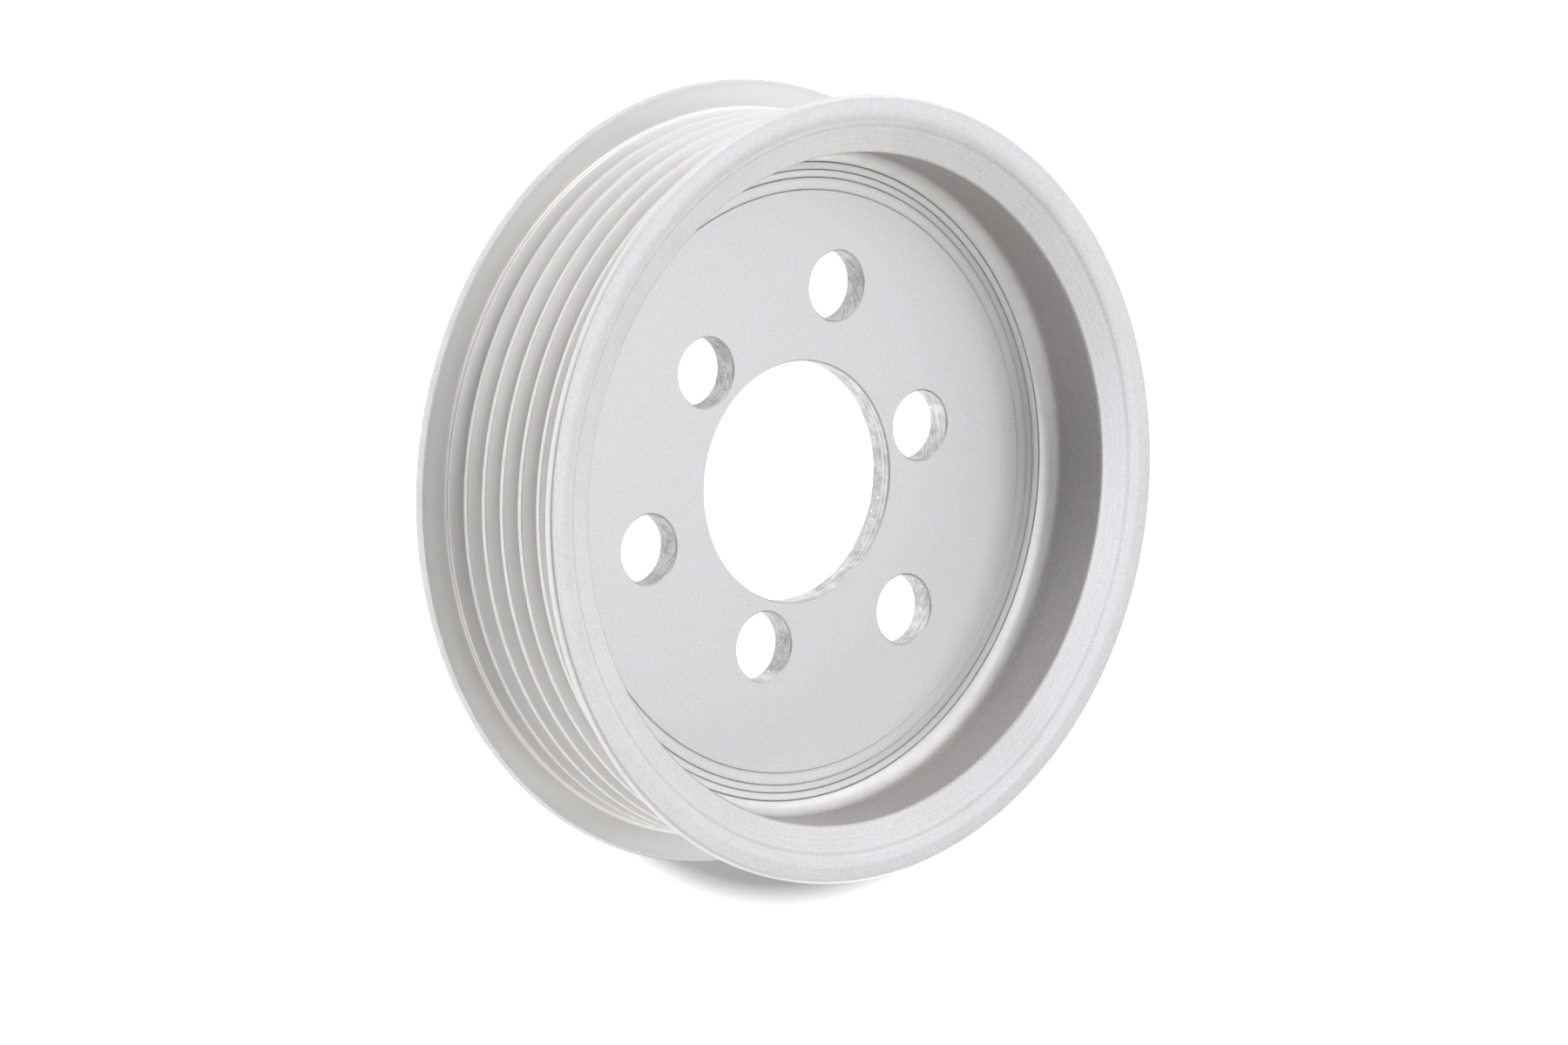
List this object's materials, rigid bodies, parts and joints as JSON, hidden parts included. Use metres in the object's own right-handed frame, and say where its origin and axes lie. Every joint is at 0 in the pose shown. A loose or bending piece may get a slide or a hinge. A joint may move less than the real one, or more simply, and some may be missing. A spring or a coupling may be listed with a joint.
{
  "type": "water pump pulley",
  "caption": "Flanged pulley for a ribbed belt, with a recessed web, an open centre bore and bolt holes that fix it to a water pump hub.",
  "frame": {"origin": "on the bore axis, at the plane of the rear rim face that the pulley stands on", "axes": "+Z along the bore axis, towards the open front face; +Y towards one hole of the larger bolt circle; +X completes the right-handed frame"},
  "size_m": [0.1, 0.1, 0.0268],
  "materials": {
    "pulley_metal": "pale satin metal with a fine grain"
  },
  "bodies": {
    "root": {"pulley": "pulley_metal"}
  },
  "joints": []
}
